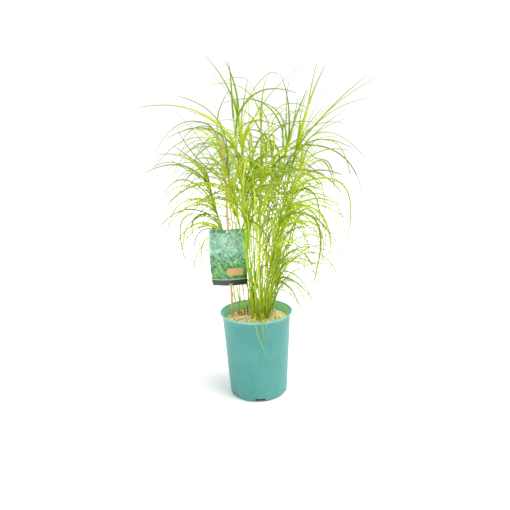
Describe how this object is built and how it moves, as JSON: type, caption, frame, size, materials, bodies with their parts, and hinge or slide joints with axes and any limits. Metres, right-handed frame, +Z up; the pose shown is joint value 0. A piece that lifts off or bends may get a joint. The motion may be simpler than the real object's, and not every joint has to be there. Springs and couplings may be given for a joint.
{
  "type": "potted palm sedge",
  "caption": "Grassy sedge with arching leaves in a tapered plastic nursery pot with potting mix, a bamboo cane and a blank picture tag; stands on its flat base.",
  "frame": {"origin": "the middle of the pot's flat base, on the surface it stands on", "axes": "+Z up along the pot's axis, -Y towards the front that the picture tag faces, +X to the right seen from the front"},
  "size_m": [0.54, 0.5404, 0.82],
  "materials": {
    "teal_plastic": "satin moulded polypropylene, slightly blotchy",
    "potting_mix": "pale husk, bark chips and dark grit",
    "bamboo": "dry pinkish tan cane",
    "printed_card": "printed plastic sheet, satin",
    "straw": "dry straw brown",
    "sedge_green": "yellow-green ribbed leaf, soft sheen, browner at the foot"
  },
  "bodies": {
    "root": {"pot": "teal_plastic", "potting_mix": "potting_mix", "cane": "bamboo", "picture_tag": "printed_card", "cut_stem_1": "straw", "cut_stem_2": "straw", "cut_stem_3": "straw", "cut_stem_4": "straw", "shoot_tall_left": "sedge_green", "shoot_tall_left_rear": "sedge_green", "shoot_tall_left_front": "sedge_green", "shoot_left_green": "sedge_green", "shoot_left_tall_arch": "sedge_green", "shoot_left_fan": "sedge_green", "shoot_left_low": "sedge_green", "shoot_left_rear": "sedge_green", "shoot_rear_left": "sedge_green", "shoot_front_left": "sedge_green", "shoot_front_low": "sedge_green", "shoot_front": "sedge_green", "shoot_middle": "sedge_green", "shoot_rear": "sedge_green", "shoot_rear_tall": "sedge_green", "shoot_middle_tall": "sedge_green", "shoot_middle_right": "sedge_green", "shoot_right_tall": "sedge_green", "shoot_right_far": "sedge_green", "shoot_right_rear": "sedge_green", "shoot_right_front": "sedge_green", "shoot_right_side": "sedge_green", "shoot_right_low": "sedge_green", "shoot_rear_right": "sedge_green", "shoot_low_right": "sedge_green", "shoot_low_rear_right": "sedge_green"}
  },
  "joints": []
}
